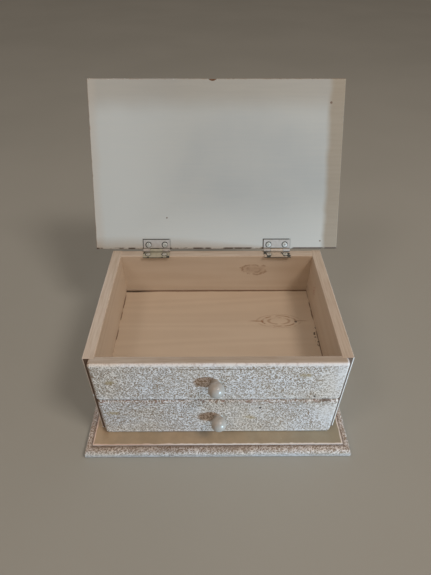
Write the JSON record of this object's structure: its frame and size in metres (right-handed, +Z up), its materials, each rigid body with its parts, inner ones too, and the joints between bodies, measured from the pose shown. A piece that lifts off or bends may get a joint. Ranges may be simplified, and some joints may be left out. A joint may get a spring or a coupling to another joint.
{
  "type": "jewelry box",
  "caption": "Small painted wooden jewelry box with an open upper tray under a hinged lid and a pull-out drawer below, on a moulded base.",
  "frame": {"origin": "centre of the base's underside, on the surface the box stands on", "axes": "+Z up, +Y to the back, where the hinges are, +X to the right of a person facing the drawer"},
  "size_m": [0.277, 0.2812, 0.2837],
  "materials": {
    "crackle_paint": "crackle-glaze paint over a brown undercoat, matt",
    "washed_wood": "thin washed paint over wood, matt",
    "cream_paint": "smooth cream-grey paint, satin",
    "bare_wood": "bare wood, matt",
    "gloss_white_paint": "gloss white paint",
    "painted_steel": "steel painted over in cream, worn",
    "plated_steel": "dull zinc plating"
  },
  "bodies": {
    "case": {"base_plate": "crackle_paint", "left_side_panel": "crackle_paint", "right_side_panel": "crackle_paint", "back_panel": "crackle_paint", "tray_floor": "washed_wood", "upper_front": "crackle_paint", "upper_knob": "gloss_white_paint", "upper_knob_screw": "plated_steel", "left_hinge_case_leaf": "painted_steel", "right_hinge_case_leaf": "painted_steel", "left_hinge_pin": "plated_steel", "right_hinge_pin": "plated_steel", "case_hinge_screws": "painted_steel", "base_screws": "plated_steel", "case_nails": "plated_steel"},
    "drawer": {"drawer_front": "crackle_paint", "drawer_left_side": "bare_wood", "drawer_right_side": "bare_wood", "drawer_back": "bare_wood", "drawer_bottom": "bare_wood", "drawer_knob": "gloss_white_paint", "drawer_knob_screw": "plated_steel", "drawer_nails": "plated_steel"},
    "lid": {"lid_panel": "cream_paint", "left_hinge_lid_leaf": "painted_steel", "right_hinge_lid_leaf": "painted_steel", "lid_hinge_screws": "painted_steel"}
  },
  "joints": [
    {"name": "lid_hinge", "type": "hinge", "parent": "case", "child": "lid", "pos_m": [0, 0.092, 0.1235], "axis": [1, 0, 0], "range_deg": [0, 119.85]},
    {"name": "drawer_slide", "type": "slide", "parent": "case", "child": "drawer", "axis": [0, -1, 0], "range_m": [0, 0.12]}
  ]
}
